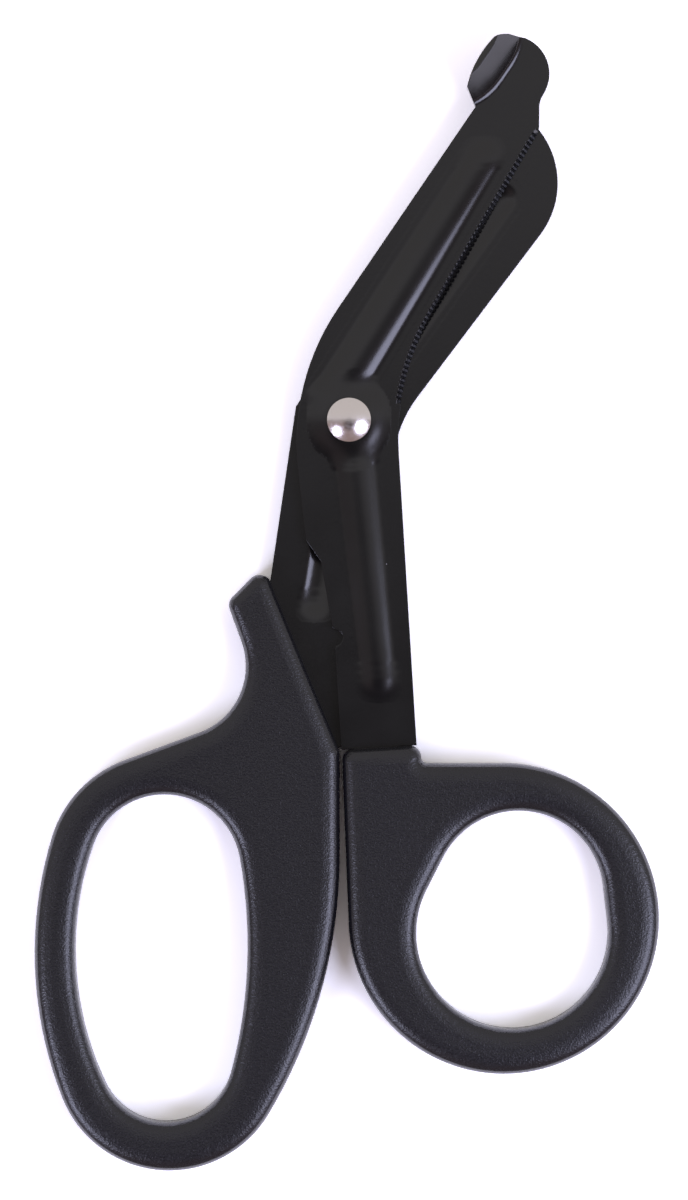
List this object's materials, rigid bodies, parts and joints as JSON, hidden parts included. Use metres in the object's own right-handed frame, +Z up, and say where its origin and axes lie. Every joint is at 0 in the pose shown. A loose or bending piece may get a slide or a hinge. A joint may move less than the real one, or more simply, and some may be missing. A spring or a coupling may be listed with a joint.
{
  "type": "bandage scissors",
  "caption": "Bandage scissors with angled pressed-steel blades, a folded safety foot, a serrated edge, a rivet pivot and moulded loop handles, for cutting dressings and clothing.",
  "frame": {"origin": "on the pivot rivet's axis at its flat tail face, in the plane of the handles' undersides", "axes": "+Y along the scissors from the handles to the blades, +Z up through the rivet's domed head, +X to the side of the thumb handle"},
  "size_m": [0.1039, 0.189, 0.0107],
  "materials": {
    "blade_coating": "black non-stick coating, semi-gloss",
    "handle_plastic": "black moulded plastic, fine spark-eroded texture",
    "rivet_steel": "bright polished head"
  },
  "bodies": {
    "thumb_side": {"thumb_blade": "blade_coating", "thumb_handle": "handle_plastic", "pivot_rivet": "rivet_steel"},
    "finger_side": {"finger_blade": "blade_coating", "finger_handle": "handle_plastic"}
  },
  "joints": [
    {"name": "pivot", "type": "hinge", "parent": "thumb_side", "child": "finger_side", "pos_m": [0, 0, 0.004], "axis": [0, 0, -1], "range_deg": [0, 80]}
  ]
}
